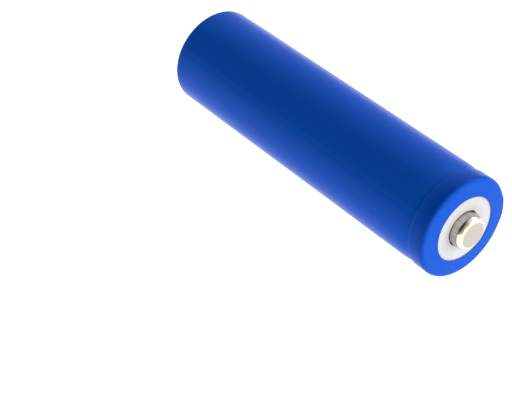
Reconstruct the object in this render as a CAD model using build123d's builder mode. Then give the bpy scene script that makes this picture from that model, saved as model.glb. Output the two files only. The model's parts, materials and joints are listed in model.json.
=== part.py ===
from build123d import *

import os
from math import asin, degrees, hypot

os.makedirs("parts", exist_ok=True)

# A protected lithium-ion cell of the 18 mm class, with a raised positive button.
# It lies along +X: X = 0 is the outer face of the negative plate, and +X is the
# positive end. The axis of the cell is the X axis. All lengths are millimetres.

# --- driving dimensions -------------------------------------------------------

# Steel can, open at the positive end and crimped over the cap assembly there.
can_od = 18.4
can_wall = 0.25
can_length = 64.5
can_corner = 0.8
rim_step = 0.05
rim_height = 2.8
crimp_lip_bore = 13.8

# Rolled bead under the rim, which carries the gasket.
bead_depth = 1.15
bead_floor_width = 0.8
bead_rim_flank = 0.5
bead_body_flank = 1.9
bead_floor_radius = 0.3
bead_rim_radius = 0.35
bead_shoulder_radius = 2.0

# Heat-shrink sleeve, which bridges the bead instead of filling it.
sleeve_wall = 0.1
sleeve_corner = 0.75
sleeve_positive_hole = 12.0
sleeve_bead_depth = 0.6
sleeve_dip_from_rim = 0.85
sleeve_shoulder_radius = 4.0
sleeve_dip_radius = 0.9
sleeve_rim_radius = 0.6

# Positive end: two fish-paper rings with the nickel strip between them.
rim_insulator_thickness = 0.2
rim_insulator_bore = 12.4
top_ring_thickness = 0.2
top_ring_bore = 6.6
ring_edge_gap = 0.05

# Positive button, drawn from nickel-plated steel.
button_rise = 2.3
button_sheet = 0.25
button_base_od = 6.3
button_crown_od = 6.2
button_flange_od = 10.4
button_edge_radius = 0.85
button_root_radius = 0.3

# Nickel strip that carries the positive pole down the can to the board.
strip_width = 4.0
strip_thickness = 0.1
strip_tape_thickness = 0.05
strip_bend_radius = 0.5
strip_tent = 0.8
strip_side_gap = 0.05
strip_weld_reach = 1.2
strip_pad_reach = 1.7

# Negative end plate and the protection board behind it.
plate_od = 12.5
plate_thickness = 0.3
plate_edge_radius = 0.12
plate_gap = 0.1
board_inset = 0.8
board_thickness = 0.8
spacer_height = 1.1
spacer_wall = 0.9
board_insulator_thickness = 0.3
link_width = 3.0
link_thickness = 0.1
link_bend_radius = 0.35
link_start = 1.5
link_fold = -6.0
link_pad = -3.0
link_gap = 0.2

# Chips on the board: two dual transistors and one protection controller.
transistor_length = 3.0
transistor_width = 4.4
transistor_lead_span = 6.4
transistor_lead_pitch = 0.65
transistor_lead_width = 0.22
transistor_leads_per_side = 4
transistor_spacing = 8.6
controller_length = 2.9
controller_width = 1.6
controller_lead_span = 2.8
controller_lead_pitch = 0.95
controller_lead_width = 0.4
controller_leads_per_side = 3
chip_standoff = 0.05
chip_room = 0.15
chip_row = 1.2
lead_thickness = 0.15
chip_part_length = 1.6
chip_part_width = 0.8
resistor_height = 0.5
capacitor_height = 0.8
resistor_row = -1.3
resistor_spacing = 2.2
capacitor_row = 4.0
solder_radius = 0.7
solder_height = 0.4

# Cap assembly clamped in the gasket.
gasket_lip = 0.6
gasket_wall = 0.6
gasket_gap = 0.05
gasket_lower_bore = 14.6
gasket_upper_bore = 13.8
cap_sheet = 0.4
cap_crown_od = 11.0
cap_bend_radius = 0.45
cap_root_radius = 0.2
cap_vent_width = 2.0
cap_vent_height = 0.3
ptc_thickness = 0.35
ptc_bore = 11.6
vent_disc_sheet = 0.35
vent_dimple_depth = 0.85
vent_dimple_od = 3.4
vent_flat_bore = 8.8
vent_bend_radius = 0.5
interrupter_ring_bore = 9.2
interrupter_ring_od = 12.8
weld_disc_od = 12.0
weld_disc_thickness = 0.4
weld_disc_hole = 1.2
weld_disc_hole_circle = 7.0
weld_disc_hole_count = 6

# Wound electrodes.
mandrel_od = 4.0
winding_room = 0.3
cathode_thickness = 0.16
anode_thickness = 0.16
separator_thickness = 0.04
winding_gap = 0.02
separator_overhang = 0.5
anode_overhang = 0.4
winding_tape_thickness = 0.05
winding_tape_margin = 2.0
lower_winding_gap = 0.2
upper_winding_gap = 0.3
insulator_disc_thickness = 0.2
insulator_disc_gap = 0.05
centre_hole = 3.5
centre_pin_od = 3.4
centre_pin_wall = 0.2
centre_pin_slit = 0.4
tab_width = 4.0
tab_thickness = 0.1
tab_bend_radius = 0.55
tab_reach = 1.5
negative_tab_length = 18.0
positive_tab_offset = -4.2
positive_tab_slot_gap = 0.3

# --- places along the axis ----------------------------------------------------

board_outer_x = plate_thickness
board_inner_x = board_outer_x + board_thickness
board_insulator_x = board_inner_x + spacer_height
can_base_x = board_insulator_x + board_insulator_thickness
can_top_x = can_base_x + can_length
rim_insulator_top_x = can_top_x + rim_insulator_thickness
strip_top_x = rim_insulator_top_x + strip_thickness
top_ring_x = strip_top_x + top_ring_thickness
button_top_x = top_ring_x + button_rise

rim_start_x = can_top_x - rim_height
bead_floor_end_x = rim_start_x - bead_rim_flank
bead_floor_start_x = bead_floor_end_x - bead_floor_width
bead_start_x = bead_floor_start_x - bead_body_flank

gasket_bottom_x = rim_start_x + can_wall
gasket_top_x = can_top_x - can_wall
vent_rim_x = gasket_bottom_x + gasket_lip
ptc_x = vent_rim_x + vent_disc_sheet
cap_brim_x = ptc_x + ptc_thickness
cap_brim_top_x = cap_brim_x + cap_sheet
cap_top_x = rim_insulator_top_x - button_sheet
weld_disc_top_x = vent_rim_x - vent_dimple_depth
weld_disc_x = weld_disc_top_x - weld_disc_thickness

can_floor_x = can_base_x + can_wall
lower_insulator_x = can_floor_x + tab_thickness
winding_start_x = lower_insulator_x + insulator_disc_thickness + lower_winding_gap
shoulder_tangent = bead_shoulder_radius * bead_depth / bead_body_flank / 2
upper_insulator_x = bead_start_x - shoulder_tangent
winding_end_x = upper_insulator_x - upper_winding_gap

# --- radii --------------------------------------------------------------------

can_radius = can_od / 2
can_bore_radius = can_radius - can_wall
rim_radius = can_radius + rim_step
rim_bore_radius = rim_radius - can_wall
bead_neck_radius = can_radius - bead_depth
strip_stack = strip_tape_thickness + strip_thickness
ring_radius = rim_radius - sleeve_corner - ring_edge_gap
board_radius = can_radius - board_inset
plate_hole_radius = plate_od / 2 + plate_gap
spacer_bore_radius = board_radius - spacer_wall
gasket_inner_radius = rim_bore_radius - gasket_gap - gasket_wall
cap_stack_radius = gasket_inner_radius - gasket_gap
strip_tongue_radius = button_flange_od / 2 - strip_weld_reach
strip_pad_radius = board_radius - strip_pad_reach

# --- drawing helpers ----------------------------------------------------------


def shifted(points, distance):
    """Corner points of a path moved sideways, to the left of its direction of travel."""
    steps = [(b[0] - a[0], b[1] - a[1]) for a, b in zip(points, points[1:])]
    normals = [(-dy / hypot(dx, dy), dx / hypot(dx, dy)) for dx, dy in steps]
    before = [normals[0]] + normals
    after = normals + [normals[-1]]
    moved = []
    for (x, y), (ax, ay), (bx, by) in zip(points, before, after):
        reach = distance / (1 + ax * bx + ay * by)
        moved.append((x + (ax + bx) * reach, y + (ay + by) * reach))
    return moved


def shifted_radii(points, radii, distance):
    """Bend radii of the shifted path: tighter on the inside of each bend."""
    result = []
    for a, b, c, radius in zip(points, points[1:], points[2:], radii):
        left_turn = (b[0] - a[0]) * (c[1] - b[1]) > (b[1] - a[1]) * (c[0] - b[0])
        result.append(radius - distance if left_turn else radius + distance)
    return result


def sheet_section(points, radii, thickness):
    """Section of a bent sheet, added to the open sketch, thick to the left of its path."""
    with BuildLine() as outline:
        near = FilletPolyline(*points, radius=radii)
        far = FilletPolyline(
            *shifted(points, thickness), radius=shifted_radii(points, radii, thickness)
        )
        Line(near @ 0, far @ 0)
        Line(near @ 1, far @ 1)
    make_face(outline.edges())


def filled_section(points, radii):
    """Section of a turned body, added to the open sketch, from a path to the axis."""
    with BuildLine() as outline:
        edge = FilletPolyline(*points, radius=radii)
        Polyline(edge @ 1, ((edge @ 1).X, 0), ((edge @ 0).X, 0), edge @ 0)
    make_face(outline.edges())


def cross_plane(x):
    """Plane across the axis at x: its first direction is +Y and it faces +X."""
    return Plane(origin=(x, 0, 0), x_dir=(0, 1, 0), z_dir=(1, 0, 0))


def sector_plane(angle):
    """Plane that holds the axis, with a sector of this angle centred on +Y ahead of it."""
    return Plane.XY.rotated((-angle / 2, 0, 0))


def sector_angle(half_width, radius):
    """Angle, in degrees, of a sector twice half_width wide at a radius."""
    return 2 * degrees(asin(half_width / radius))


def finish(builder, name):
    """Name a finished piece and write it."""
    builder.part.label = name
    export_step(builder.part, f"parts/{name}.step")


# --- paths shared by the can, the sleeve and the strip ------------------------


def sleeve_path(lift):
    """Inner face of the sleeve, from the negative lap to the positive lap."""
    side = can_radius + lift
    return [
        (board_outer_x, plate_hole_radius),
        (board_outer_x, side),
        (bead_start_x, side),
        (rim_start_x - sleeve_dip_from_rim, side - sleeve_bead_depth),
        (rim_start_x, rim_radius + lift),
        (top_ring_x, rim_radius + lift),
        (top_ring_x, sleeve_positive_hole / 2),
    ]


sleeve_radii = [
    sleeve_corner,
    sleeve_shoulder_radius,
    sleeve_dip_radius,
    sleeve_rim_radius,
    sleeve_corner,
]

# --- heat-shrink sleeve -------------------------------------------------------

tent_angle = sector_angle(strip_width / 2 + strip_tent, can_radius)
channel_angle = sector_angle(strip_width / 2 + strip_side_gap, can_radius)
raised_path = sleeve_path(strip_stack)

with BuildPart() as outer_sleeve:
    with BuildSketch(Plane.XY):
        filled_section(
            shifted(sleeve_path(0), sleeve_wall),
            shifted_radii(sleeve_path(0), sleeve_radii, sleeve_wall),
        )
    revolve(axis=Axis.X)
    with BuildSketch(sector_plane(tent_angle)):
        filled_section(
            shifted(raised_path, sleeve_wall),
            shifted_radii(raised_path, sleeve_radii, sleeve_wall),
        )
    revolve(axis=Axis.X, revolution_arc=tent_angle)
    with BuildSketch(Plane.XY):
        filled_section(sleeve_path(0), sleeve_radii)
    revolve(axis=Axis.X, mode=Mode.SUBTRACT)
    with BuildSketch(sector_plane(channel_angle)):
        filled_section(raised_path, sleeve_radii)
    revolve(axis=Axis.X, revolution_arc=channel_angle, mode=Mode.SUBTRACT)
    with BuildSketch(cross_plane(board_outer_x)):
        Circle(plate_hole_radius)
    extrude(amount=-sleeve_wall, mode=Mode.SUBTRACT)
    with BuildSketch(cross_plane(top_ring_x)):
        Circle(sleeve_positive_hole / 2)
    extrude(amount=sleeve_wall, mode=Mode.SUBTRACT)
finish(outer_sleeve, "outer_sleeve")

# --- can ----------------------------------------------------------------------

can_path = [
    (can_base_x, 0),
    (can_base_x, can_radius),
    (bead_start_x, can_radius),
    (bead_floor_start_x, bead_neck_radius),
    (bead_floor_end_x, bead_neck_radius),
    (rim_start_x, rim_radius),
    (can_top_x, rim_radius),
    (can_top_x, crimp_lip_bore / 2),
]
can_radii = [
    can_corner,
    bead_shoulder_radius,
    bead_floor_radius,
    bead_floor_radius,
    bead_rim_radius,
    can_corner,
]

with BuildPart() as steel_can:
    with BuildSketch(Plane.XY):
        sheet_section(can_path, can_radii, -can_wall)
    revolve(axis=Axis.X)
finish(steel_can, "steel_can")

# --- positive end -------------------------------------------------------------

with BuildPart() as rim_insulator:
    with BuildSketch(cross_plane(can_top_x)):
        Circle(ring_radius)
        Circle(rim_insulator_bore / 2, mode=Mode.SUBTRACT)
    extrude(amount=rim_insulator_thickness)
finish(rim_insulator, "rim_insulator")

with BuildPart() as top_ring:
    with BuildSketch(cross_plane(strip_top_x)):
        Circle(ring_radius)
        Circle(top_ring_bore / 2, mode=Mode.SUBTRACT)
    extrude(amount=top_ring_thickness)
finish(top_ring, "top_insulator_ring")

button_path = [
    (rim_insulator_top_x, button_flange_od / 2),
    (rim_insulator_top_x, button_base_od / 2),
    (button_top_x, button_crown_od / 2),
    (button_top_x, 0),
]

with BuildPart() as positive_button:
    with BuildSketch(Plane.XY):
        sheet_section(button_path, [button_root_radius, button_edge_radius], -button_sheet)
    revolve(axis=Axis.X)
finish(positive_button, "positive_button")

# --- positive strip and its tape ----------------------------------------------

strip_side_path = sleeve_path(strip_stack)[2:5]
strip_path = [
    (board_inner_x, strip_pad_radius),
    (board_inner_x, can_radius + strip_stack),
    *strip_side_path,
    (strip_top_x, rim_radius + strip_stack),
    (strip_top_x, strip_tongue_radius),
]
strip_radii = [strip_bend_radius, *sleeve_radii[1:4], sleeve_corner]
strip_sector = sector_angle(strip_width / 2, strip_tongue_radius)
strip_slab_length = 2 * button_top_x

with BuildPart() as positive_strip:
    with BuildSketch(sector_plane(strip_sector)):
        sheet_section(strip_path, strip_radii, -strip_thickness)
    revolve(axis=Axis.X, revolution_arc=strip_sector)
    Box(strip_slab_length, strip_slab_length, strip_width, mode=Mode.INTERSECT)
finish(positive_strip, "positive_strip")

strip_inner_path = shifted(strip_path, -strip_thickness)
strip_inner_radii = shifted_radii(strip_path, strip_radii, -strip_thickness)
tape_path = [
    (board_insulator_x, can_radius + strip_tape_thickness),
    *strip_inner_path[2:6],
    (rim_insulator_top_x, ring_radius + ring_edge_gap),
]

with BuildPart() as strip_tape:
    with BuildSketch(sector_plane(channel_angle)):
        sheet_section(tape_path, strip_inner_radii[1:5], -strip_tape_thickness)
    revolve(axis=Axis.X, revolution_arc=channel_angle)
finish(strip_tape, "strip_insulation_tape")

# --- negative end -------------------------------------------------------------

with BuildPart() as negative_plate:
    with BuildSketch(cross_plane(0)):
        Circle(plate_od / 2)
    extrude(amount=plate_thickness)
    fillet(negative_plate.faces().sort_by(Axis.X)[0].edges(), radius=plate_edge_radius)
finish(negative_plate, "negative_end_plate")

with BuildPart() as board:
    with BuildSketch(cross_plane(board_outer_x)):
        Circle(board_radius)
    extrude(amount=board_thickness)
finish(board, "protection_board")

with BuildPart() as spacer:
    with BuildSketch(cross_plane(board_inner_x)):
        Circle(board_radius)
        Circle(spacer_bore_radius, mode=Mode.SUBTRACT)
        with Locations((board_radius, 0)):
            Rectangle(board_radius, strip_width + 2 * strip_tent, mode=Mode.SUBTRACT)
    extrude(amount=spacer_height)
finish(spacer, "board_spacer_ring")

slot_start = link_fold - link_gap
slot_end = link_start + link_gap

with BuildPart() as board_insulator:
    with BuildSketch(cross_plane(board_insulator_x)):
        Circle(board_radius)
        with Locations(((slot_start + slot_end) / 2, 0)):
            Rectangle(slot_end - slot_start, link_width + 2 * link_gap, mode=Mode.SUBTRACT)
    extrude(amount=board_insulator_thickness)
finish(board_insulator, "board_insulator")

link_path = [
    (can_base_x, link_start),
    (can_base_x, link_fold),
    (board_inner_x, link_fold),
    (board_inner_x, link_pad),
]

with BuildPart() as negative_link:
    with BuildSketch(Plane.XY):
        sheet_section(link_path, [link_bend_radius] * 2, -link_thickness)
    extrude(amount=link_width / 2, both=True)
finish(negative_link, "negative_link_strip")

# --- chips on the board -------------------------------------------------------

chip_x = board_inner_x + chip_standoff
chip_height = spacer_height - chip_standoff - chip_room
transistor_places = [(chip_row, -transistor_spacing / 2), (chip_row, transistor_spacing / 2)]


def lead_row(centre, body_width, span, pitch, width, per_side):
    """Feet along both long sides of a chip, drawn in the open sketch."""
    foot = (span - body_width) / 2
    for side in (-1, 1):
        with Locations((centre[0] + side * (body_width + foot) / 2, centre[1])):
            with GridLocations(foot, pitch, 1, per_side):
                Rectangle(foot, width)


with BuildPart() as transistors:
    with BuildSketch(cross_plane(chip_x)):
        with Locations(*transistor_places):
            Rectangle(transistor_width, transistor_length)
    extrude(amount=chip_height)
finish(transistors, "mosfet_pair")

with BuildPart() as controller:
    with BuildSketch(cross_plane(chip_x)):
        with Locations((chip_row, 0)):
            Rectangle(controller_width, controller_length)
    extrude(amount=chip_height)
finish(controller, "protection_ic")

with BuildPart() as chip_leads:
    with BuildSketch(cross_plane(board_inner_x)):
        for place in transistor_places:
            lead_row(
                place,
                transistor_width,
                transistor_lead_span,
                transistor_lead_pitch,
                transistor_lead_width,
                transistor_leads_per_side,
            )
        lead_row(
            (chip_row, 0),
            controller_width,
            controller_lead_span,
            controller_lead_pitch,
            controller_lead_width,
            controller_leads_per_side,
        )
    extrude(amount=lead_thickness)
finish(chip_leads, "chip_leads")

with BuildPart() as resistors:
    with BuildSketch(cross_plane(board_inner_x)):
        with Locations((resistor_row, 0)):
            with GridLocations(chip_part_width, resistor_spacing, 1, 2):
                Rectangle(chip_part_width, chip_part_length)
    extrude(amount=resistor_height)
finish(resistors, "board_resistors")

with BuildPart() as capacitor:
    with BuildSketch(cross_plane(board_inner_x)):
        with Locations((capacitor_row, 0)):
            Rectangle(chip_part_width, chip_part_length)
    extrude(amount=capacitor_height)
finish(capacitor, "board_capacitor")

with BuildPart() as solder:
    with BuildSketch(cross_plane(board_inner_x)):
        with Locations((strip_pad_radius, 0), (link_pad, 0)):
            Circle(solder_radius)
    extrude(amount=solder_height)
    fillet(solder.faces().group_by(Axis.X)[-1].edges(), radius=solder_height / 2)
    add(positive_strip.part, mode=Mode.SUBTRACT)
    add(negative_link.part, mode=Mode.SUBTRACT)
finish(solder, "solder_joints")

# --- cap assembly -------------------------------------------------------------

gasket_outer_radius = rim_bore_radius - gasket_gap
gasket_path = [
    (gasket_bottom_x, gasket_lower_bore / 2),
    (gasket_bottom_x, gasket_outer_radius),
    (gasket_top_x, gasket_outer_radius),
    (gasket_top_x, gasket_upper_bore / 2),
]

with BuildPart() as gasket:
    with BuildSketch(Plane.XY):
        with BuildLine():
            outside = FilletPolyline(*gasket_path, radius=can_corner - can_wall)
            Polyline(
                outside @ 1,
                (cap_brim_top_x, gasket_upper_bore / 2),
                (cap_brim_top_x, gasket_inner_radius),
                (vent_rim_x, gasket_inner_radius),
                (vent_rim_x, gasket_lower_bore / 2),
                outside @ 0,
            )
        make_face()
    revolve(axis=Axis.X)
finish(gasket, "crimp_gasket")

cap_vent_x = (cap_brim_top_x + cap_top_x - cap_sheet) / 2
cap_path = [
    (cap_brim_top_x, cap_stack_radius),
    (cap_brim_top_x, cap_crown_od / 2),
    (cap_top_x, cap_crown_od / 2),
    (cap_top_x, 0),
]

with BuildPart() as top_cap:
    with BuildSketch(Plane.XY):
        sheet_section(cap_path, [cap_root_radius, cap_bend_radius], -cap_sheet)
    revolve(axis=Axis.X)
    with BuildSketch(Plane.XY.offset(-cap_crown_od)):
        with Locations((cap_vent_x, 0)):
            Rectangle(cap_vent_height, cap_vent_width)
    extrude(amount=2 * cap_crown_od, mode=Mode.SUBTRACT)
    with BuildSketch(Plane.XZ.offset(-cap_crown_od)):
        with Locations((cap_vent_x, 0)):
            Rectangle(cap_vent_height, cap_vent_width)
    extrude(amount=2 * cap_crown_od, mode=Mode.SUBTRACT)
finish(top_cap, "top_cap")

with BuildPart() as ptc_ring:
    with BuildSketch(cross_plane(ptc_x)):
        Circle(cap_stack_radius)
        Circle(ptc_bore / 2, mode=Mode.SUBTRACT)
    extrude(amount=ptc_thickness)
finish(ptc_ring, "ptc_ring")

vent_path = [
    (ptc_x, cap_stack_radius),
    (ptc_x, vent_flat_bore / 2),
    (ptc_x - vent_dimple_depth, vent_dimple_od / 2),
    (ptc_x - vent_dimple_depth, 0),
]

with BuildPart() as vent_disc:
    with BuildSketch(Plane.XY):
        sheet_section(vent_path, [vent_bend_radius] * 2, -vent_disc_sheet)
    revolve(axis=Axis.X)
finish(vent_disc, "vent_disc")

with BuildPart() as interrupter_ring:
    with BuildSketch(cross_plane(weld_disc_top_x)):
        Circle(interrupter_ring_od / 2)
        Circle(interrupter_ring_bore / 2, mode=Mode.SUBTRACT)
    extrude(amount=vent_dimple_depth)
finish(interrupter_ring, "interrupter_insulator")

with BuildPart() as weld_disc:
    with BuildSketch(cross_plane(weld_disc_x)):
        Circle(weld_disc_od / 2)
        with PolarLocations(weld_disc_hole_circle / 2, weld_disc_hole_count):
            Circle(weld_disc_hole / 2, mode=Mode.SUBTRACT)
    extrude(amount=weld_disc_thickness)
finish(weld_disc, "interrupter_weld_disc")

# --- wound electrodes ---------------------------------------------------------

winding_radius = can_bore_radius - winding_room
tab_side_radius = winding_radius + winding_tape_thickness + tab_thickness
winding_pitch = cathode_thickness + anode_thickness + 2 * separator_thickness + 4 * winding_gap
winding_length = winding_end_x - winding_start_x
half_turns = int(2 * (winding_radius - mandrel_od / 2 - winding_pitch) / winding_pitch)

# Radius at which each sheet starts, from the inside out.
inner_separator_start = mandrel_od / 2
cathode_start = inner_separator_start + separator_thickness + winding_gap
outer_separator_start = cathode_start + cathode_thickness + winding_gap
anode_start = outer_separator_start + separator_thickness + winding_gap
anode_edge = separator_overhang
cathode_edge = separator_overhang + anode_overhang


def half_turn_arcs(start_radius):
    """One face of a wound sheet: half-turn arcs whose centres alternate by half a pitch."""
    return [
        CenterArc(
            ((k % 2) * winding_pitch / 2, 0),
            start_radius + k * winding_pitch / 2,
            180 * (k % 2),
            180,
        )
        for k in range(half_turns)
    ]


def wound_sheet(name, start_radius, thickness, edge):
    """Make and write one wound sheet, set back from both ends of the winding."""
    with BuildPart() as sheet:
        with BuildSketch(cross_plane(winding_start_x + edge)):
            with BuildLine():
                near = half_turn_arcs(start_radius)
                far = half_turn_arcs(start_radius + thickness)
                Line(near[0] @ 0, far[0] @ 0)
                Line(near[-1] @ 1, far[-1] @ 1)
            make_face()
        extrude(amount=winding_length - 2 * edge)
    finish(sheet, name)


wound_sheet("separator_inner", inner_separator_start, separator_thickness, 0)
wound_sheet("cathode_sheet", cathode_start, cathode_thickness, cathode_edge)
wound_sheet("separator_outer", outer_separator_start, separator_thickness, 0)
wound_sheet("anode_sheet", anode_start, anode_thickness, anode_edge)

with BuildPart() as winding_tape:
    with BuildSketch(cross_plane(winding_start_x + winding_tape_margin)):
        Circle(winding_radius + winding_tape_thickness)
        Circle(winding_radius, mode=Mode.SUBTRACT)
    extrude(amount=winding_length - 2 * winding_tape_margin)
finish(winding_tape, "winding_tape")

with BuildPart() as centre_pin:
    with BuildSketch(cross_plane(winding_start_x)):
        Circle(centre_pin_od / 2)
        Circle(centre_pin_od / 2 - centre_pin_wall, mode=Mode.SUBTRACT)
        with Locations((centre_pin_od / 2, 0)):
            Rectangle(centre_pin_od / 2, centre_pin_slit, mode=Mode.SUBTRACT)
    extrude(amount=winding_length)
finish(centre_pin, "centre_pin")

# The discs stay clear of the bend in the negative tab.
insulator_disc_radius = tab_side_radius - tab_bend_radius - insulator_disc_gap

with BuildPart() as lower_insulator:
    with BuildSketch(cross_plane(lower_insulator_x)):
        Circle(insulator_disc_radius)
        Circle(centre_hole / 2, mode=Mode.SUBTRACT)
    extrude(amount=insulator_disc_thickness)
finish(lower_insulator, "lower_insulator")

tab_slot = tab_thickness + 2 * positive_tab_slot_gap

with BuildPart() as upper_insulator:
    with BuildSketch(cross_plane(upper_insulator_x)):
        Circle(insulator_disc_radius)
        Circle(centre_hole / 2, mode=Mode.SUBTRACT)
        with Locations((positive_tab_offset + tab_thickness / 2, 0)):
            Rectangle(tab_slot, tab_width + 2 * positive_tab_slot_gap, mode=Mode.SUBTRACT)
    extrude(amount=insulator_disc_thickness)
finish(upper_insulator, "upper_insulator")

# --- tabs ---------------------------------------------------------------------

positive_tab_path = [
    (winding_end_x, positive_tab_offset),
    (weld_disc_x, positive_tab_offset),
    (weld_disc_x, tab_reach),
]

with BuildPart() as positive_tab:
    with BuildSketch(Plane.XY):
        sheet_section(positive_tab_path, [tab_bend_radius], tab_thickness)
    extrude(amount=tab_width / 2, both=True)
finish(positive_tab, "positive_tab")

negative_tab_path = [
    (can_floor_x, tab_width),
    (can_floor_x, tab_side_radius),
    (can_floor_x + negative_tab_length, tab_side_radius),
]
tab_sector = sector_angle(tab_width / 2, tab_width)

with BuildPart() as negative_tab:
    with BuildSketch(sector_plane(tab_sector)):
        sheet_section(negative_tab_path, [tab_bend_radius], -tab_thickness)
    revolve(axis=Axis.X, revolution_arc=tab_sector)
    Box(strip_slab_length, strip_slab_length, tab_width, mode=Mode.INTERSECT)
    with BuildSketch(cross_plane(can_floor_x)):
        with Locations(((tab_width - tab_reach) / 2, 0)):
            Rectangle(tab_width + tab_reach, tab_width)
    extrude(amount=tab_thickness)
finish(negative_tab, "negative_tab")
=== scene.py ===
# %% [markdown]
# # A protected battery cell
#
# The frame is the imported design of the cell. It lies along +X: X = 0 is the outer face
# of the negative plate, and the raised button is at the far end. Everything below either
# puts a finish on one of its parts or models a finer piece that stands in its place.
# The box of the design is kept from the start, and its middle is where the softboxes aim.

# %% Load the design
import json
from math import atan2, exp, hypot, pi, radians, tau

import bmesh
import bpy
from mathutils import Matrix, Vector


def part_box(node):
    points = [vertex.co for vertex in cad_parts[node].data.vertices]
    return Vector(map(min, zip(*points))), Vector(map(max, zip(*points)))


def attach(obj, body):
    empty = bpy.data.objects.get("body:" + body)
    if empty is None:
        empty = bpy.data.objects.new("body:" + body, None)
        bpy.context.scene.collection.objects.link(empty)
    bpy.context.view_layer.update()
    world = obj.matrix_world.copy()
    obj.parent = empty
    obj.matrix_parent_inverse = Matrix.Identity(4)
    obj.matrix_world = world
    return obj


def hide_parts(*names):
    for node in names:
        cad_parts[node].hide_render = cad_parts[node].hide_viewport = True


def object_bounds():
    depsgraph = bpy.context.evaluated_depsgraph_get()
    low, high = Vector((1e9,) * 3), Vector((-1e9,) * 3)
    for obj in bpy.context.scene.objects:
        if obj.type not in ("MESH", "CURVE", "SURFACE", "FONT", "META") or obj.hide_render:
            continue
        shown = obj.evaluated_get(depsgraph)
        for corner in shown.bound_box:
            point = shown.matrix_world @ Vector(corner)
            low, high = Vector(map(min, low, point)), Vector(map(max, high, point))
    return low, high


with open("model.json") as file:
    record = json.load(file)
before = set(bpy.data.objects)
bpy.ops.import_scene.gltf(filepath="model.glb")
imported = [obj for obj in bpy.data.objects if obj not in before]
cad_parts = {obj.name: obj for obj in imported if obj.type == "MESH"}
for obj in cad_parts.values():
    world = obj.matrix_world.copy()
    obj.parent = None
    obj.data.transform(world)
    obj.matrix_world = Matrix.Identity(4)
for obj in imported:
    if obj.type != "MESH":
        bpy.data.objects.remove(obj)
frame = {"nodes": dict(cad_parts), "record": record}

MM = 0.001
design_low, design_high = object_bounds()
print("design box, mm:", [round(side / MM, 2) for side in design_high - design_low])

# %% [markdown]
# ## Measures taken from the design
#
# Each finished piece takes its place from the part it stands for, so nothing has to be
# fitted by eye. The cell is round about the X axis, so the highest z of a part is its
# outer radius. The crimped rim is the widest part of the sleeve, and the body is a
# small step inside it.

# %% Measures
sleeve_low, sleeve_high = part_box("outer_sleeve")
ring_low, ring_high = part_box("top_insulator_ring")
button_low, button_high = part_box("positive_button")
plate_low, plate_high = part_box("negative_end_plate")
can_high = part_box("steel_can")[1]

rim_step = 0.05 * MM
rim_radius = sleeve_high.z
plate_radius = plate_high.z
film_thickness = rim_radius - can_high.z
body_radius = rim_radius - rim_step
print("sleeve radius on the body, mm:", round(body_radius / MM, 2))
print("sleeve radius on the rim, mm:", round(rim_radius / MM, 2))

# %% [markdown]
# ## Tools for turned pieces
#
# The sleeve, the button, the plate and the ring are all round about one axis. On a bench
# they would be drawn, punched or shrunk over something turned. In Blender the matching
# way is to draw half of the section as a chain of edges, round its corners, and spin the
# chain about the axis. Building each piece from stacked circles would also work, but a
# corner would then need its own row of extrusions for each step of its curve.
#
# `draw_section` starts from a plane, merges it to one point and extrudes that point along
# the section. A vertex bevel turns a sharp corner into an arc: on a chain of edges it
# cuts back the same length on both sides, so the length is given instead of a radius.

# %% Draw a section
def select_points(piece, test):
    """Select the points of the piece being edited whose place passes the test."""
    mesh = bmesh.from_edit_mesh(piece.data)
    for point in mesh.verts:
        point.select_set(test(point.co))
    mesh.select_flush_mode()
    bmesh.update_edit_mesh(piece.data)


def draw_section(name, corners):
    """A chain of edges through (x, radius, cut back, steps) corners, left in edit mode."""
    places = [Vector((x, 0, radius)) for x, radius, _, _ in corners]
    bpy.ops.object.select_all(action="DESELECT")
    bpy.ops.mesh.primitive_plane_add(size=MM)
    piece = bpy.context.object
    piece.name = piece.data.name = name
    bpy.ops.object.mode_set(mode="EDIT")
    bpy.ops.mesh.select_mode(type="VERT")
    bpy.ops.mesh.select_all(action="SELECT")
    bpy.ops.mesh.merge(type="CENTER")
    bpy.ops.transform.translate(value=places[0])
    for start, end in zip(places, places[1:]):
        bpy.ops.mesh.extrude_region_move(TRANSFORM_OT_translate={"value": end - start})
    for place, (_, _, cut_back, steps) in zip(places, corners):
        if cut_back:
            select_points(piece, lambda co: (co - place).length < 0.001 * MM)
            bpy.ops.mesh.bevel(
                offset_type="OFFSET", offset=cut_back, segments=steps, profile=0.5, affect="VERTICES"
            )
    return piece


def divide_run(piece, start_x, end_x, radius, cuts):
    """Put more points on a long straight run, so that it can be shaped later."""
    reach = 0.01 * MM

    def on_run(co):
        return start_x - reach < co.x < end_x + reach and abs(co.z - radius) < reach

    select_points(piece, on_run)
    bpy.ops.mesh.subdivide(number_cuts=cuts)


# %% [markdown]
# A spin leaves a seam where its last copy meets the first, and points that lie on the axis
# are copied on top of each other. Merging by distance closes both. The faces are turned
# outwards only after that, because Blender can tell inside from outside only when the
# faces are joined.

# %% Spin a section
def spin_section(piece, around):
    """Turn the drawn section about the cell's axis, close it and leave edit mode."""
    bpy.ops.mesh.select_all(action="SELECT")
    bpy.ops.mesh.spin(steps=around, angle=tau, center=(0, 0, 0), axis=(1, 0, 0))
    bpy.ops.mesh.select_all(action="SELECT")
    bpy.ops.mesh.remove_doubles(threshold=0.001 * MM)
    bpy.ops.mesh.normals_make_consistent(inside=False)
    bpy.ops.object.mode_set(mode="OBJECT")
    print(piece.name, "turned:", len(piece.data.polygons), "faces")


# %% Weights and modifiers
def say_box(piece):
    """Print the corners of a piece in millimetres."""
    for name, pick in (("lowest", min), ("highest", max)):
        corner = [pick(point.co[axis] for point in piece.data.vertices) / MM for axis in range(3)]
        print(piece.name, name, [round(value, 3) for value in corner])


def weight_points(piece, name, weight_at):
    """A vertex group whose weights come from the place of each point."""
    group = piece.vertex_groups.new(name=name)
    for point in piece.data.vertices:
        weight = weight_at(point.co)
        if weight > 0.001:
            group.add([point.index], weight, "REPLACE")


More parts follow.
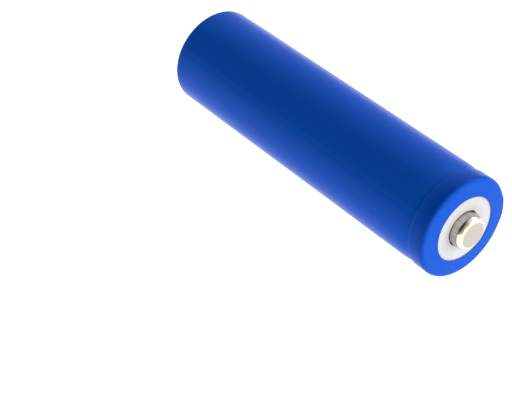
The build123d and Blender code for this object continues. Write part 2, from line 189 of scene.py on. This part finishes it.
def apply_modifier(piece, kind, **settings):
    """Add a modifier with these settings and apply it at once."""
    bpy.context.view_layer.objects.active = piece
    modifier = piece.modifiers.new(kind.title(), kind)
    for setting, value in settings.items():
        setattr(modifier, setting, value)
    bpy.ops.object.modifier_apply(modifier=modifier.name)


def smooth_edges(piece, sharp_from):
    """Shade smooth, but keep edges sharper than this many degrees crisp."""
    bpy.ops.object.select_all(action="DESELECT")
    piece.select_set(True)
    bpy.context.view_layer.objects.active = piece
    bpy.ops.object.shade_smooth_by_angle(angle=radians(sharp_from))


def ease(value, start, end):
    """0 before start, 1 after end, and a smooth rise between them."""
    t = min(max((value - start) / (end - start), 0), 1)
    return t * t * (3 - 2 * t)


# %% [markdown]
# ## The sleeve
#
# The blue skin is a tube of PVC film that was slipped over the cell and shrunk in hot air.
# It folds over both ends as a flat lap with a round hole. It bridges the rolled groove
# under the rim instead of filling it: a long shoulder runs down to a shallow neck, and
# then the film climbs steeply over the edge of the crimped rim. The white ring under the
# positive lap lifts the edge of its hole a little. The section below is the outer face,
# from the negative lap to the positive lap.

# %% Section of the sleeve
negative_face = sleeve_low.x
positive_face = sleeve_high.x
lap_gap = 0.1 * MM
negative_hole = plate_radius + lap_gap
positive_hole = 6.0 * MM
corner_cut = 0.7 * MM
lap_lift = 0.08 * MM
rim_start = positive_face - 3.3 * MM
neck_middle = positive_face - 3.6 * MM
neck_start = positive_face - 5.4 * MM
neck_radius = body_radius - 0.28 * MM
neck_shoulder_cut = 1.0 * MM
neck_cut = 0.12 * MM
rim_edge_cut = 0.11 * MM
barrel_cuts = 39

sleeve = draw_section("shrink_sleeve", [
    (negative_face, negative_hole, 0, 1),
    (negative_face, body_radius, corner_cut, 10),
    (neck_start, body_radius, neck_shoulder_cut, 10),
    (neck_middle, neck_radius, neck_cut, 6),
    (rim_start, rim_radius, rim_edge_cut, 6),
    (positive_face, rim_radius, corner_cut, 10),
    (positive_face + lap_lift, positive_hole, 0, 1),
])
divide_run(sleeve, negative_face + corner_cut, neck_start - neck_shoulder_cut, body_radius, barrel_cuts)
spin_section(sleeve, 288)

# %% [markdown]
# Three things under and in the film show on its surface. A nickel strip runs down the +Y
# side to the protection board, and the film rises over it like a low tent. Before it was
# shrunk the tube was also rolled up flat, and its two fold lines stay as faint ridges on
# opposite sides. The film never draws in evenly all round, so the hole in the positive
# lap ends up a little off the middle. All three are weights for Displace modifiers: the
# strip lifts the points straight along +Y, the folds lift them along their normals, and
# the edge of the hole is moved along Y and along Z.

# %% Tent over the strip, lay-flat folds and the hole in the lap
strip_half_width = 2.0 * MM
tent_reach = 2.8 * MM
tent_height = 0.14 * MM
fold_angle = radians(148)
fold_width = 0.25 * MM
fold_height = 0.006 * MM
side_from = 7.6 * MM
side_whole = 8.6 * MM
lap_reach = 2.0 * MM
lap_shifts = {"Y": 0.13 * MM, "Z": -0.10 * MM}


def side_share(co):
    """1 on the barrel of the cell and 0 well inside its end faces."""
    return ease(hypot(co.y, co.z), side_from, side_whole)


def strip_weight(co):
    """1 above the strip, and less down both slopes of the tent."""
    over = ease(abs(co.z), tent_reach, strip_half_width) if co.y > 0 else 0
    return over * side_share(co)


def fold_weight(co):
    """A narrow ridge along each of two lines on opposite sides."""
    angle = atan2(co.z, co.y)
    turn = (angle - fold_angle + pi / 2) % pi - pi / 2
    return exp(-((turn * body_radius / fold_width) ** 2)) * side_share(co)


def lap_weight(co):
    """1 at the edge of the positive lap's hole, and 0 a little way out from it."""
    at_face = ease(co.x, positive_face - corner_cut, positive_face)
    return at_face * (1 - ease(hypot(co.y, co.z), positive_hole, positive_hole + lap_reach))


weight_points(sleeve, "over_strip", strip_weight)
weight_points(sleeve, "fold_lines", fold_weight)
weight_points(sleeve, "positive_lap", lap_weight)
apply_modifier(
    sleeve, "DISPLACE", vertex_group="over_strip", direction="Y", mid_level=0, strength=tent_height
)
apply_modifier(
    sleeve, "DISPLACE", vertex_group="fold_lines", direction="NORMAL", mid_level=0, strength=fold_height
)
for side, shift in lap_shifts.items():
    apply_modifier(
        sleeve, "DISPLACE", vertex_group="positive_lap", direction=side, mid_level=0, strength=shift
    )

# %% [markdown]
# Film that has shrunk is never perfectly even. A cloud texture with a broad scale pulls
# the surface in by a few hundredths of a millimetre, which is too little to see in the
# outline but enough to make long reflections waver. The film then gets its real
# thickness inwards, which also closes the two lap edges.

# %% Unevenness and thickness of the film
sag_size = 7.0 * MM
sag_depth = 0.03 * MM
shrunk_thickness = film_thickness * 0.9

shrink_clouds = bpy.data.textures.new("shrink_unevenness", "CLOUDS")
shrink_clouds.noise_scale = sag_size
shrink_clouds.noise_depth = 1
apply_modifier(
    sleeve,
    "DISPLACE",
    texture=shrink_clouds,
    texture_coords="LOCAL",
    direction="NORMAL",
    mid_level=1.0,
    strength=sag_depth,
)
apply_modifier(sleeve, "SOLIDIFY", thickness=shrunk_thickness, offset=-1, use_even_offset=True)
smooth_edges(sleeve, 40)
say_box(sleeve)
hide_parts("outer_sleeve")
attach(sleeve, "root")

# %% [markdown]
# ## The white ring
#
# The ring round the button is punched from white insulating board. A punch leaves a
# slightly rounded upper edge and a ragged lower one, so the hole is not a perfect circle:
# the gap to the button is wider in some places than in others. The section is a closed
# chain, because its last corner is its first, and the merge after the spin joins them.

# %% Punched ring
punch_round = 0.05 * MM
ring_bore = 3.3 * MM
ring_outside = ring_high.z
ragged_reach = 0.3 * MM
ragged_size = 1.1 * MM
ragged_depth = 0.2 * MM

ring = draw_section("insulating_ring", [
    (ring_low.x, ring_bore, 0, 1),
    (ring_high.x, ring_bore, punch_round, 4),
    (ring_high.x, ring_outside, punch_round, 4),
    (ring_low.x, ring_outside, 0, 1),
    (ring_low.x, ring_bore, 0, 1),
])
spin_section(ring, 192)


def punched_weight(co):
    """1 at the edge of the hole, and 0 a little way out from it."""
    return 1 - ease(hypot(co.y, co.z), ring_bore, ring_bore + ragged_reach)


weight_points(ring, "punched_edge", punched_weight)
paper_clouds = bpy.data.textures.new("punched_edge_wander", "CLOUDS")
paper_clouds.noise_scale = ragged_size
paper_clouds.noise_depth = 2
for side in ("Y", "Z"):
    apply_modifier(
        ring,
        "DISPLACE",
        texture=paper_clouds,
        texture_coords="LOCAL",
        vertex_group="punched_edge",
        direction=side,
        mid_level=0.5,
        strength=ragged_depth,
    )
smooth_edges(ring, 40)
say_box(ring)
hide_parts("top_insulator_ring")
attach(ring, "root")

# %% [markdown]
# ## The button
#
# The button is a small cup drawn from nickel-plated steel sheet. Its crown is widely
# rounded, because a tight bend would thin the sheet, and a flat punch pressed the middle.
# Only the outer face is drawn, and Solidify gives it the thickness of the sheet.

# %% Drawn button
button_base = 3.15 * MM
button_crown = 3.1 * MM
crown_cut = 1.05 * MM
root_cut = 0.25 * MM
flange_gap = 0.1 * MM
flange_radius = button_high.z
flange_top = ring_low.x - flange_gap
sheet_thickness = flange_top - button_low.x

button = draw_section("nickel_button", [
    (flange_top, flange_radius, 0, 1),
    (flange_top, button_base, root_cut, 6),
    (button_high.x, button_crown, crown_cut, 14),
    (button_high.x, 0, 0, 1),
])
spin_section(button, 160)
apply_modifier(button, "SOLIDIFY", thickness=sheet_thickness, offset=-1, use_even_offset=True)
smooth_edges(button, 50)
say_box(button)
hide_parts("positive_button")
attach(button, "root")

# %% [markdown]
# ## The negative plate
#
# The plate is a blanked disc of nickel-plated steel that covers the protection board.
# Tumbling in the plating barrel rounded its edge, and the blanking die left a shallow
# ring just inside it. It stands a fifth of a millimetre proud of the film.

# %% Blanked plate
plate_edge = 0.24 * MM
die_ring = plate_radius - 0.6 * MM
die_ring_half = 0.12 * MM
die_ring_depth = 0.03 * MM
die_lip_cut = 0.03 * MM
die_floor_cut = 0.05 * MM

plate = draw_section("negative_plate", [
    (plate_high.x, 0, 0, 1),
    (plate_high.x, plate_radius, 0, 1),
    (plate_low.x, plate_radius, plate_edge, 8),
    (plate_low.x, die_ring + die_ring_half, die_lip_cut, 2),
    (plate_low.x + die_ring_depth, die_ring, die_floor_cut, 3),
    (plate_low.x, die_ring - die_ring_half, die_lip_cut, 2),
    (plate_low.x, 0, 0, 1),
])
spin_section(plate, 192)
smooth_edges(plate, 50)
say_box(plate)
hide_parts("negative_end_plate")
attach(plate, "root")

# %% [markdown]
# ## Tools for finishes
#
# A material is a small tree of nodes. `add_node` adds one node: plain settings are the
# node's own properties, and `inputs` holds values or the output of another node. Colours
# are written as the hex values that a screen shows, and `screen_colour` turns them into
# the linear values that light is reckoned in. `per_mm` turns the size of a grain into
# the scale of a pattern, because every pattern here reads Object coordinates, in metres.

# %% Nodes, colours and scales
def add_node(tree, kind, inputs=None, **settings):
    """Add a node with its settings, and with its inputs set or linked."""
    node = tree.nodes.new(kind)
    for setting, value in settings.items():
        setattr(node, setting, value)
    for socket, value in (inputs or {}).items():
        if isinstance(value, bpy.types.NodeSocket):
            tree.links.new(value, node.inputs[socket])
        else:
            node.inputs[socket].default_value = value
    return node


def screen_colour(code):
    """Linear colour, with full alpha, of a screen colour such as 1050D0."""
    shares = [int(code[i : i + 2], 16) / 255 for i in (0, 2, 4)]
    linear = [s / 12.92 if s <= 0.04045 else ((s + 0.055) / 1.055) ** 2.4 for s in shares]
    return (*linear, 1.0)


def per_mm(size):
    """Scale of a pattern whose grain is this many millimetres across."""
    return 1 / (size * MM)


# %% [markdown]
# Most of these finishes share one idea: a fine grain of a real size changes the colour a
# little, the roughness a little and the height a little, all together, as it does on a
# real surface. `grained_finish` builds that much. Stretching the grain along one axis
# turns specks into drawn or rolled lines. Values that are the same everywhere, such as
# how metallic it is, go straight on the shader.

# %% A grained finish
def grained_finish(name, dark, light, grain, roughness, relief, stretch=(1, 1, 1), **uniform):
    """Material whose colour, roughness and height follow one grain; sizes are in mm."""
    material = bpy.data.materials.new(name)
    material.use_nodes = True
    tree = material.node_tree
    tree.nodes.clear()
    place = add_node(tree, "ShaderNodeTexCoord").outputs["Object"]
    drawn = add_node(tree, "ShaderNodeMapping", {"Vector": place, "Scale": stretch})
    specks = add_node(
        tree,
        "ShaderNodeTexNoise",
        {"Vector": drawn.outputs["Vector"], "Scale": per_mm(grain), "Detail": 3.0, "Roughness": 0.6},
    ).outputs["Fac"]
    colour = add_node(
        tree,
        "ShaderNodeMix",
        {0: specks, 6: screen_colour(dark), 7: screen_colour(light)},
        data_type="RGBA",
    ).outputs[2]
    rough = add_node(
        tree,
        "ShaderNodeMapRange",
        {
            "Value": specks,
            "From Min": 0.3,
            "From Max": 0.7,
            "To Min": roughness[0],
            "To Max": roughness[1],
        },
    ).outputs["Result"]
    height = add_node(
        tree, "ShaderNodeBump", {"Height": specks, "Distance": relief * MM}
    ).outputs["Normal"]
    surface = add_node(
        tree, "ShaderNodeBsdfPrincipled", {"Base Color": colour, "Roughness": rough, "Normal": height}
    )
    for setting, value in uniform.items():
        surface.inputs[setting.replace("_", " ")].default_value = value
    add_node(tree, "ShaderNodeOutputMaterial", {"Surface": surface.outputs["BSDF"]})
    return material


def parts_of(material):
    """Tree, shader and Object coordinates of a finish, to add more detail to it."""
    tree = material.node_tree
    surface = next(node for node in tree.nodes if node.type == "BSDF_PRINCIPLED")
    place = next(node for node in tree.nodes if node.type == "TEX_COORD").outputs["Object"]
    return tree, surface, place


def paint_over(tree, surface, mask, colour):
    """Lay a second colour over the finish where the mask is 1."""
    under = surface.inputs["Base Color"].links[0].from_socket
    over = add_node(
        tree, "ShaderNodeMix", {0: mask, 6: under, 7: screen_colour(colour)}, data_type="RGBA"
    )
    tree.links.new(over.outputs[2], surface.inputs["Base Color"])


# %% [markdown]
# ## The film's finish
#
# PVC shrink film is extruded as a tube, blown out and cooled, then shrunk back. The
# pigment is mixed in, so the colour is deep and even, with a soft satin gloss. A low
# specular level keeps that gloss weak where the film faces the eye and leaves it to rise
# towards the outline. The die leaves faint lines along the tube, and a few specks of
# pigment or dust show paler. Along the two fold lines a lighter blue is painted on as a
# painted highlight. Over the crimped rim the blue is painted darker, up to the corner of
# the end face: that is painted shade.

# %% Shrink film
# The rim shade below is painted shade, and the fold mark is a painted highlight, both in the film's
# colour.
painted_rim_shade_lead = 0.1 * MM
painted_rim_shade = 0.5
face_fade_start = 0.45 * MM
face_fade_end = 0.12 * MM
fold_painted_highlight = 0.04
fold_highlight_width = 1.6 * fold_width


def shrink_film():
    """Satin blue film with pale specks, a painted highlight on two fold lines and painted shade on the
    rim.
    """
    material = grained_finish(
        "pvc_shrink_film", "0A52C8", "0F59D2", 2.5, (0.20, 0.27), 0.004,
        stretch=(0.15, 1, 1), IOR=1.53, Specular_IOR_Level=0.04,
    )
    tree, surface, place = parts_of(material)
    specks = add_node(
        tree, "ShaderNodeTexVoronoi", {"Vector": place, "Scale": per_mm(1.6), "Randomness": 1.0}
    ).outputs["Distance"]
    speck_mask = add_node(
        tree,
        "ShaderNodeMapRange",
        {"Value": specks, "From Min": 0.03, "From Max": 0.07, "To Min": 0.35, "To Max": 0.0},
    ).outputs["Result"]
    paint_over(tree, surface, speck_mask, "6FA0E8")

    axes = add_node(tree, "ShaderNodeSeparateXYZ", {"Vector": place})
    angle = add_node(
        tree, "ShaderNodeMath", {0: axes.outputs["Z"], 1: axes.outputs["Y"]}, operation="ARCTAN2"
    ).outputs["Value"]
    turned = add_node(
        tree, "ShaderNodeMath", {0: angle, 1: pi / 2 - fold_angle + tau}, operation="ADD"
    ).outputs["Value"]
    folded = add_node(
        tree, "ShaderNodeMath", {0: turned, 1: pi}, operation="FLOORED_MODULO"
    ).outputs["Value"]
    offset = add_node(
        tree, "ShaderNodeMath", {0: folded, 1: pi / 2}, operation="SUBTRACT"
    ).outputs["Value"]
    away = add_node(tree, "ShaderNodeMath", {0: offset}, operation="ABSOLUTE").outputs["Value"]
    fold_highlight_mask = add_node(
        tree,
        "ShaderNodeMapRange",
        {
            "Value": away,
            "From Min": 0,
            "From Max": fold_highlight_width / body_radius,
            "To Min": fold_painted_highlight,
            "To Max": 0.0,
        },
        interpolation_type="SMOOTHSTEP",
    ).outputs["Result"]
    # Painted highlight: a lighter blue along each fold line.
    paint_over(tree, surface, fold_highlight_mask, "5C92EA")

    rim_shade_ramp = add_node(
        tree,
        "ShaderNodeMapRange",
        {
            "Value": axes.outputs["X"],
            "From Min": rim_start - painted_rim_shade_lead,
            "From Max": positive_face - corner_cut,
            "To Min": 0.0,
            "To Max": painted_rim_shade,
        },
    ).outputs["Result"]
    off_face = add_node(
        tree,
        "ShaderNodeMapRange",
        {
            "Value": axes.outputs["X"],
            "From Min": positive_face - face_fade_start,
            "From Max": positive_face - face_fade_end,
            "To Min": 1.0,
            "To Max": 0.0,
        },
        interpolation_type="SMOOTHSTEP",
    ).outputs["Result"]
    painted_rim_shade_mask = add_node(
        tree, "ShaderNodeMath", {0: rim_shade_ramp, 1: off_face}, operation="MULTIPLY"
    ).outputs["Value"]
    # Painted shade: a darker blue over the rim, deepest at the corner of the end face.
    paint_over(tree, surface, painted_rim_shade_mask, "0638A6")
    return material


# %% [markdown]
# ## Finishes of the two poles
#
# Nickel plating on steel is a warm grey. The button was drawn through a die, which leaves
# fine lines up its wall: the grain is stretched along X, so it draws lines on the wall
# and stays a fine speckle on the flat crown. The wall is painted darker than the rounded
# crown, in streaks: the streaks follow the drawn lines, and the darkening is painted shade.
# The flat middle is painted a little darker too, as painted shade. The plate was barrel
# finished, which gives a dull, even satin. A metal's default IOR is kept, because its
# colour already says how it reflects.

# %% Nickel
# Where the painted shade on the wall and on the flat middle starts and ends.
wall_top = button_high.x - crown_cut - 0.1 * MM
wall_shade_end = button_high.x - 0.6 * crown_cut
flat_shade_from = button_high.x - 0.08 * MM
flat_shade_whole = button_high.x - 0.01 * MM


def bright_nickel():
    """Nickel with drawn streaks and painted shade on the wall, and painted shade on the flat middle."""
    material = grained_finish(
        "bright_nickel_plated_steel", "DDD6C8", "EBE4D8", 0.18, (0.10, 0.18), 0.0015,
        stretch=(0.06, 1, 1), Metallic=1.0,
    )
    tree, surface, place = parts_of(material)
    height = add_node(tree, "ShaderNodeSeparateXYZ", {"Vector": place}).outputs["X"]
    wall_shade = add_node(
        tree,
        "ShaderNodeMapRange",
        {
            "Value": height,
            "From Min": wall_top,
            "From Max": wall_shade_end,
            "To Min": 0.85,
            "To Max": 0.0,
        },
        interpolation_type="SMOOTHSTEP",
    ).outputs["Result"]
    along = add_node(
        tree, "ShaderNodeMapping", {"Vector": place, "Scale": (0.03, 1, 1)}
    ).outputs["Vector"]
    streaks = add_node(
        tree, "ShaderNodeTexNoise", {"Vector": along, "Scale": per_mm(0.3), "Detail": 4.0}
    ).outputs["Fac"]
    drawn = add_node(
        tree,
        "ShaderNodeMapRange",
        {"Value": streaks, "From Min": 0.3, "From Max": 0.65, "To Min": 0.45, "To Max": 1.0},
    ).outputs["Result"]
    mask = add_node(tree, "ShaderNodeMath", {0: wall_shade, 1: drawn}, operation="MULTIPLY").outputs["Value"]
    # Painted shade on the wall, in streaks that follow the drawn lines.
    paint_over(tree, surface, mask, "A39B93")
    flat_shade = add_node(
        tree,
        "ShaderNodeMapRange",
        {
            "Value": height,
            "From Min": flat_shade_from,
            "From Max": flat_shade_whole,
            "To Min": 0.0,
            "To Max": 0.85,
        },
        interpolation_type="SMOOTHSTEP",
    ).outputs["Result"]
    # Painted shade: the flat middle a little darker than the rounded crown.
    paint_over(tree, surface, flat_shade, "B1ACA1")
    return material


def satin_nickel():
    return grained_finish(
        "satin_nickel_plated_steel", "B9AF9C", "CBC2B0", 0.22, (0.34, 0.48), 0.005, Metallic=1.0
    )


def rolled_nickel():
    """Thin nickel strip, bright from the rolling mill, with lines along its length."""
    return grained_finish(
        "rolled_nickel_strip", "B8B4AA", "CDC9C0", 0.12, (0.25, 0.38), 0.003,
        stretch=(0.05, 1, 1), Metallic=1.0,
    )


def plated_can_steel():
    """Deep-drawn steel, nickel plated before drawing, so it has a dull drawn sheen."""
    return grained_finish(
        "drawn_plated_steel", "A9A8A2", "BDBCB7", 0.25, (0.30, 0.45), 0.004,
        stretch=(0.08, 1, 1), Metallic=1.0,
    )


# %% [markdown]
# ## Finishes of the papers, tapes and plastics
#
# Insulating board is pressed from fibres: matte, with a fine felt that only just shows.
# Fish paper is the same idea in grey-green. The tapes are thin clear films, so they get a
# smooth gloss and some transmission. Moulded plastics carry the texture of their mould.

# %% Boards and papers
def white_board():
    return grained_finish(
        "white_insulating_board", "CFD1D7", "D6D8DE", 0.15, (0.75, 0.9), 0.008, IOR=1.5
    )


def fish_paper():
    return grained_finish(
        "grey_fish_paper", "7F897A", "99A393", 0.3, (0.65, 0.85), 0.01, stretch=(1, 1, 0.4), IOR=1.5
    )


# %% Tapes and films
def polyimide_tape():
    return grained_finish(
        "amber_polyimide_tape", "B06A14", "C98422", 1.5, (0.15, 0.25), 0.002,
        IOR=1.7, Transmission_Weight=0.3,
    )


def separator_film():
    """Stretched polyolefin, white because of pores far finer than can be drawn."""
    return grained_finish(
        "porous_polyolefin_film", "ECECEA", "F7F7F5", 0.2, (0.5, 0.65), 0.002,
        stretch=(0.3, 1, 1), IOR=1.5, Transmission_Weight=0.15,
    )


def winding_tape():
    return grained_finish(
        "blue_polypropylene_tape", "2A6C9E", "3379AD", 1.2, (0.2, 0.3), 0.002,
        IOR=1.49, Transmission_Weight=0.2,
    )


# %% Moulded plastics
def gasket_plastic():
    return grained_finish(
        "natural_polypropylene", "D2D0C6", "DEDCD3", 0.4, (0.4, 0.55), 0.006,
        IOR=1.49, Subsurface_Weight=0.2, Subsurface_Scale=0.001,
    )


def spacer_plastic():
    return grained_finish(
        "black_moulded_nylon", "17171A", "222226", 0.25, (0.45, 0.6), 0.01, IOR=1.53
    )


def conductive_polymer():
    """Carbon-filled polymer between two nickel faces: near black, with a metal glint."""
    return grained_finish(
        "carbon_filled_polymer", "18181A", "3A3A3C", 0.15, (0.4, 0.6), 0.006, Metallic=0.3
    )


# %% [markdown]
# ## Finishes of the electronics
#
# A circuit board is woven glass in resin under a green mask. The weave shows as a fine
# grid of squares under the gloss. Copper tracks under the mask look a lighter green, and
# a wandering band of noise is enough to suggest them. Chips are moulded from black
# compound filled with glass beads. The two ends of a chip resistor or capacitor are
# tinned, so a mask on the z axis, along which they lie, paints them.

# %% Circuit board
def board_laminate():
    material = grained_finish(
        "masked_glass_epoxy", "0C4423", "125230", 0.6, (0.22, 0.32), 0.004, IOR=1.55
    )
    tree, surface, place = parts_of(material)
    tracks = add_node(
        tree,
        "ShaderNodeTexVoronoi",
        {"Vector": place, "Scale": per_mm(2.4)},
        feature="DISTANCE_TO_EDGE",
    ).outputs["Distance"]
    track_mask = add_node(
        tree,
        "ShaderNodeMapRange",
        {"Value": tracks, "From Min": 0.10, "From Max": 0.13, "To Min": 0.55, "To Max": 0.0},
    ).outputs["Result"]
    paint_over(tree, surface, track_mask, "2F8A55")
    return material


# %% Chips and their metal
def chip_package():
    return grained_finish(
        "glass_filled_moulding_compound", "131314", "29292B", 0.1, (0.5, 0.65), 0.008, IOR=1.55
    )


def tinned_copper():
    return grained_finish(
        "tinned_copper_leads", "B9BABB", "D0D1D2", 0.15, (0.2, 0.35), 0.004, Metallic=1.0
    )


def bright_solder():
    return grained_finish(
        "reflowed_solder", "AEB0B3", "CBCDD0", 0.35, (0.12, 0.25), 0.01, Metallic=1.0
    )


def tinned_ends(material, middle, half_length, tinned):
    """Paint the ends of a small part that lies along z, at plus and minus its middle."""
    tree, surface, place = parts_of(material)
    height = add_node(tree, "ShaderNodeSeparateXYZ", {"Vector": place}).outputs["Z"]
    side = add_node(tree, "ShaderNodeMath", {0: height}, operation="ABSOLUTE").outputs["Value"]
    from_middle = add_node(
        tree, "ShaderNodeMath", {0: side, 1: middle * MM}, operation="SUBTRACT"
    ).outputs["Value"]
    along = add_node(tree, "ShaderNodeMath", {0: from_middle}, operation="ABSOLUTE").outputs["Value"]
    mask = add_node(
        tree,
        "ShaderNodeMath",
        {0: along, 1: (half_length - tinned) * MM},
        operation="GREATER_THAN",
    ).outputs["Value"]
    paint_over(tree, surface, mask, "C9CACC")
    return material


def chip_resistor():
    """Ceramic with a black glaze on top, 1.6 mm long."""
    finish = grained_finish(
        "black_glazed_ceramic", "1A1A1C", "242427", 0.2, (0.2, 0.35), 0.004, IOR=1.6
    )
    return tinned_ends(finish, 1.1, 0.8, 0.25)


def chip_capacitor():
    finish = grained_finish(
        "tan_barium_ceramic", "8A6A47", "9C7B55", 0.2, (0.35, 0.5), 0.005, IOR=1.6
    )
    return tinned_ends(finish, 0, 0.8, 0.25)


# %% [markdown]
# ## Finishes inside the can
#
# The vent disc and the positive tab are soft aluminium, rolled bright. The cathode is
# aluminium foil coated with black oxide, and the anode is copper foil coated with
# graphite. Both coats are rolled flat, which leaves them matte with a slight sheen.

# %% Sheets and coats
def rolled_aluminium():
    return grained_finish(
        "rolled_aluminium", "C4C5C7", "D6D7D9", 0.15, (0.25, 0.4), 0.004,
        stretch=(1, 0.08, 1), Metallic=1.0,
    )


def cathode_coat():
    return grained_finish(
        "calendered_oxide_coat", "151517", "29292C", 0.12, (0.55, 0.75), 0.005, Specular_IOR_Level=0.4
    )


def anode_coat():
    return grained_finish(
        "calendered_graphite_coat", "2A2523", "433A35", 0.12, (0.45, 0.65), 0.005, Metallic=0.2
    )


# %% [markdown]
# ## Dress every part
#
# The record of the design names a finish for every part. The table below gives each of
# those names its material, and the loop puts it on every part that names it, hidden ones
# too, because someone may open the cell up later. The new pieces take the same materials.

# %% Put on the finishes
finishes = {
    "sleeve_film": shrink_film(),
    "nickel_plate": bright_nickel(),
    "satin_nickel": satin_nickel(),
    "can_steel": plated_can_steel(),
    "nickel_strip": rolled_nickel(),
    "white_ring": white_board(),
    "fish_paper": fish_paper(),
    "polyimide_tape": polyimide_tape(),
    "board_laminate": board_laminate(),
    "spacer_plastic": spacer_plastic(),
    "chip_package": chip_package(),
    "tin": tinned_copper(),
    "solder": bright_solder(),
    "chip_resistor": chip_resistor(),
    "chip_capacitor": chip_capacitor(),
    "gasket_plastic": gasket_plastic(),
    "ptc_polymer": conductive_polymer(),
    "aluminium_sheet": rolled_aluminium(),
    "separator_film": separator_film(),
    "cathode_coat": cathode_coat(),
    "anode_coat": anode_coat(),
    "winding_tape": winding_tape(),
}
for part in frame["record"]["subparts"]:
    for slot in frame["nodes"][part["node"]].material_slots:
        slot.material = finishes[part["material_slot"]]
for piece, name in (
    (sleeve, "sleeve_film"),
    (ring, "white_ring"),
    (button, "nickel_plate"),
    (plate, "satin_nickel"),
):
    piece.data.materials.append(finishes[name])

# %% [markdown]
# ## The studio
#
# The cell lies on a glowing white table inside a white tent, as small glossy things often
# do. The table is brighter than the walls, so it throws soft light up on the ends and the
# undersides and leaves no hard shadow. The tent has a dark opening above and beside the
# barrel, and that opening keeps the colour of the film deep: what faces it reflects
# almost nothing, and what turns away from it picks up the white walls. The wall on the
# camera's side is cream, which warms the crown of the button. The world below is that
# tent: it is dark towards the opening, white round it, and cream towards that wall.

# %% Lit table
table_radius = 4.0
table_middle = (0.035, 0, sleeve_low.z)
table_glow = 1.28

bpy.ops.object.select_all(action="DESELECT")
bpy.ops.mesh.primitive_circle_add(
    vertices=96, radius=table_radius, fill_type="NGON", location=table_middle
)
table_top = bpy.context.object
table_top.name = table_top.data.name = "lit_table"

acrylic = bpy.data.materials.new("opal_acrylic")
acrylic.use_nodes = True
acrylic_shader = next(node for node in acrylic.node_tree.nodes if node.type == "BSDF_PRINCIPLED")
acrylic_shader.inputs["Base Color"].default_value = screen_colour("606060")
acrylic_shader.inputs["Roughness"].default_value = 0.6
acrylic_shader.inputs["Emission Color"].default_value = (1, 1, 1, 1)
acrylic_shader.inputs["Emission Strength"].default_value = table_glow
table_top.data.materials.append(acrylic)
print("table top at z, mm:", round(table_middle[2] / MM, 2))

# %% Tent
tent_opening = Vector((-0.35, -0.64, 0.68))
cream_wall = Vector((0.66, -0.45, 0.60))
wall_brightness = 0.88
opening_brightness = 0.04

tent = bpy.data.worlds.new("white_tent")
bpy.context.scene.world = tent
tent.use_nodes = True
tent_tree = tent.node_tree
tent_tree.nodes.clear()
looking = add_node(tent_tree, "ShaderNodeTexCoord").outputs["Generated"]
towards_opening = add_node(
    tent_tree, "ShaderNodeVectorMath", {0: looking, 1: tent_opening}, operation="DOT_PRODUCT"
).outputs["Value"]
glow = add_node(
    tent_tree,
    "ShaderNodeMapRange",
    {
        "Value": towards_opening,
        "From Min": 0.33,
        "From Max": 0.93,
        "To Min": wall_brightness,
        "To Max": opening_brightness,
    },
    interpolation_type="SMOOTHSTEP",
).outputs["Result"]
towards_wall = add_node(
    tent_tree, "ShaderNodeVectorMath", {0: looking, 1: cream_wall}, operation="DOT_PRODUCT"
).outputs["Value"]
wall_share = add_node(
    tent_tree,
    "ShaderNodeMapRange",
    {"Value": towards_wall, "From Min": 0.6, "From Max": 0.9, "To Min": 0.0, "To Max": 1.0},
    interpolation_type="SMOOTHSTEP",
).outputs["Result"]
tent_colour = add_node(
    tent_tree,
    "ShaderNodeMix",
    {0: wall_share, 6: screen_colour("FFFFFF"), 7: screen_colour("DCC49C")},
    data_type="RGBA",
).outputs[2]
walls = add_node(tent_tree, "ShaderNodeBackground", {"Color": tent_colour, "Strength": glow})
add_node(tent_tree, "ShaderNodeOutputWorld", {"Surface": walls.outputs["Background"]})
print("tent brightness, walls and opening:", wall_brightness, opening_brightness)

# %% [markdown]
# Three softboxes add direction. The smallest faces the positive end and puts the
# highlight on the button's crown. A wide one, higher and towards the far side of that
# end, brings up the end face and the ring. The third, above the far side, lifts the top
# of the barrel. None of them stands in the opening. A softbox is set by how bright it
# looks: the power of an area lamp is that brightness times its area times pi.

# %% Softboxes
def softbox(name, place, target, width, height, brightness):
    """An area lamp of this size that faces the target and looks this bright."""
    lamp = bpy.data.lights.new(name, "AREA")
    lamp.shape = "RECTANGLE"
    lamp.size = width
    lamp.size_y = height
    lamp.energy = brightness * width * height * pi
    holder = bpy.data.objects.new(name, lamp)
    holder.location = place
    holder.rotation_euler = (Vector(target) - Vector(place)).to_track_quat("-Z", "Y").to_euler()
    bpy.context.scene.collection.objects.link(holder)


cell_middle = (design_low + design_high) / 2
softbox("end_key", (0.85, -0.02, 0.10), cell_middle, 0.5, 0.4, 1.5)
softbox("end_fill", (0.62, 0.52, 0.36), cell_middle, 0.8, 0.5, 1.8)
softbox("far_side", (0.03, 0.68, 0.60), cell_middle, 0.8, 0.5, 1.3)
print("softboxes:", [light.name for light in bpy.data.lights])

# %% [markdown]
# ## The camera
#
# The view is from above and beside the positive end, through a long lens, so the far end
# looks only a little smaller. The camera stands off the middle of the positive face and
# looks at a spot beside the cell, which puts the cell to the right of the frame. Depth of
# field stays off, so every view of the cell is sharp.

# %% Camera
camera_stand = Vector((126.0, -142.0, 149.9)) * MM
aim = Vector((42.4, -23.2, 0.0)) * MM

camera_data = bpy.data.cameras.new("studio_camera")
camera_data.sensor_width = 36
camera_data.lens = 103.6
camera_data.clip_start = 0.01
camera_data.clip_end = 50
camera = bpy.data.objects.new("studio_camera", camera_data)
bpy.context.scene.collection.objects.link(camera)
bpy.context.scene.camera = camera
camera.location = Vector((positive_face, 0, 0)) + camera_stand
camera.rotation_euler = (aim - camera.location).to_track_quat("-Z", "Y").to_euler()
bpy.context.scene.view_settings.view_transform = "Standard"
print("camera from the face, mm:", [round(side / MM, 1) for side in camera_stand])
